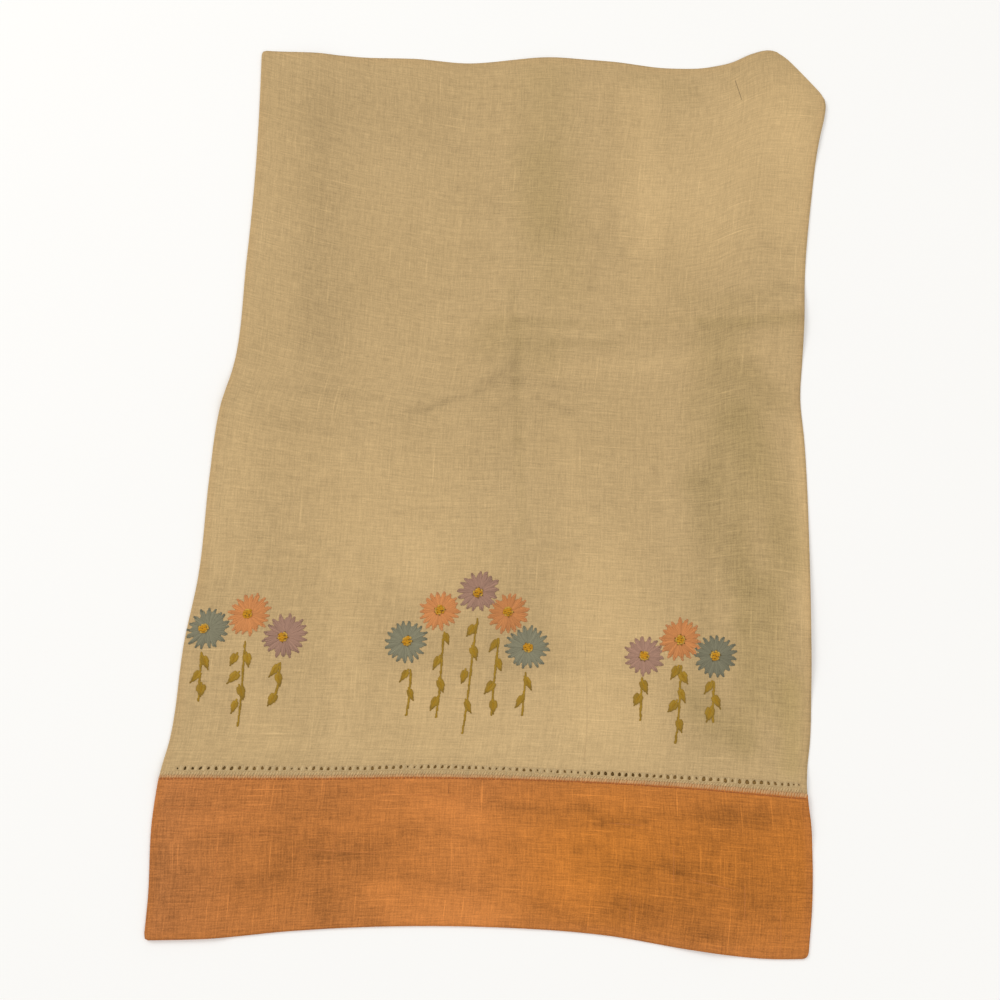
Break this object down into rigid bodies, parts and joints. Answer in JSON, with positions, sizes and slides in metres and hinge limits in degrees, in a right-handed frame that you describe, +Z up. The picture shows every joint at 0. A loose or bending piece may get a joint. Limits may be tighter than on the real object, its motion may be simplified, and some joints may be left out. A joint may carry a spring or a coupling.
{
  "type": "tea towel",
  "caption": "Linen tea towel laid flat: cream panel with a hemstitched orange border and embroidered daisies, left margin and far corner turned under",
  "frame": {"origin": "on the surface the towel lies on, under the middle of its outline", "axes": "+X across the towel to the right with the border end nearest, +Y along the towel from the border end to the plain end, +Z up out of the face with the embroidery"},
  "size_m": [0.3449, 0.5308, 0.0046],
  "materials": {
    "cream_linen": "plain woven cream linen toned tan with age, slubby, matt",
    "orange_linen": "plain woven orange linen, slubby, faded in soft patches, matt",
    "embroidery_thread": "stranded cotton in dusty blue, peach, lilac, gold and olive, soft sheen"
  },
  "bodies": {
    "root": {"ground_panel": "cream_linen", "border_band": "orange_linen"}
  },
  "joints": []
}
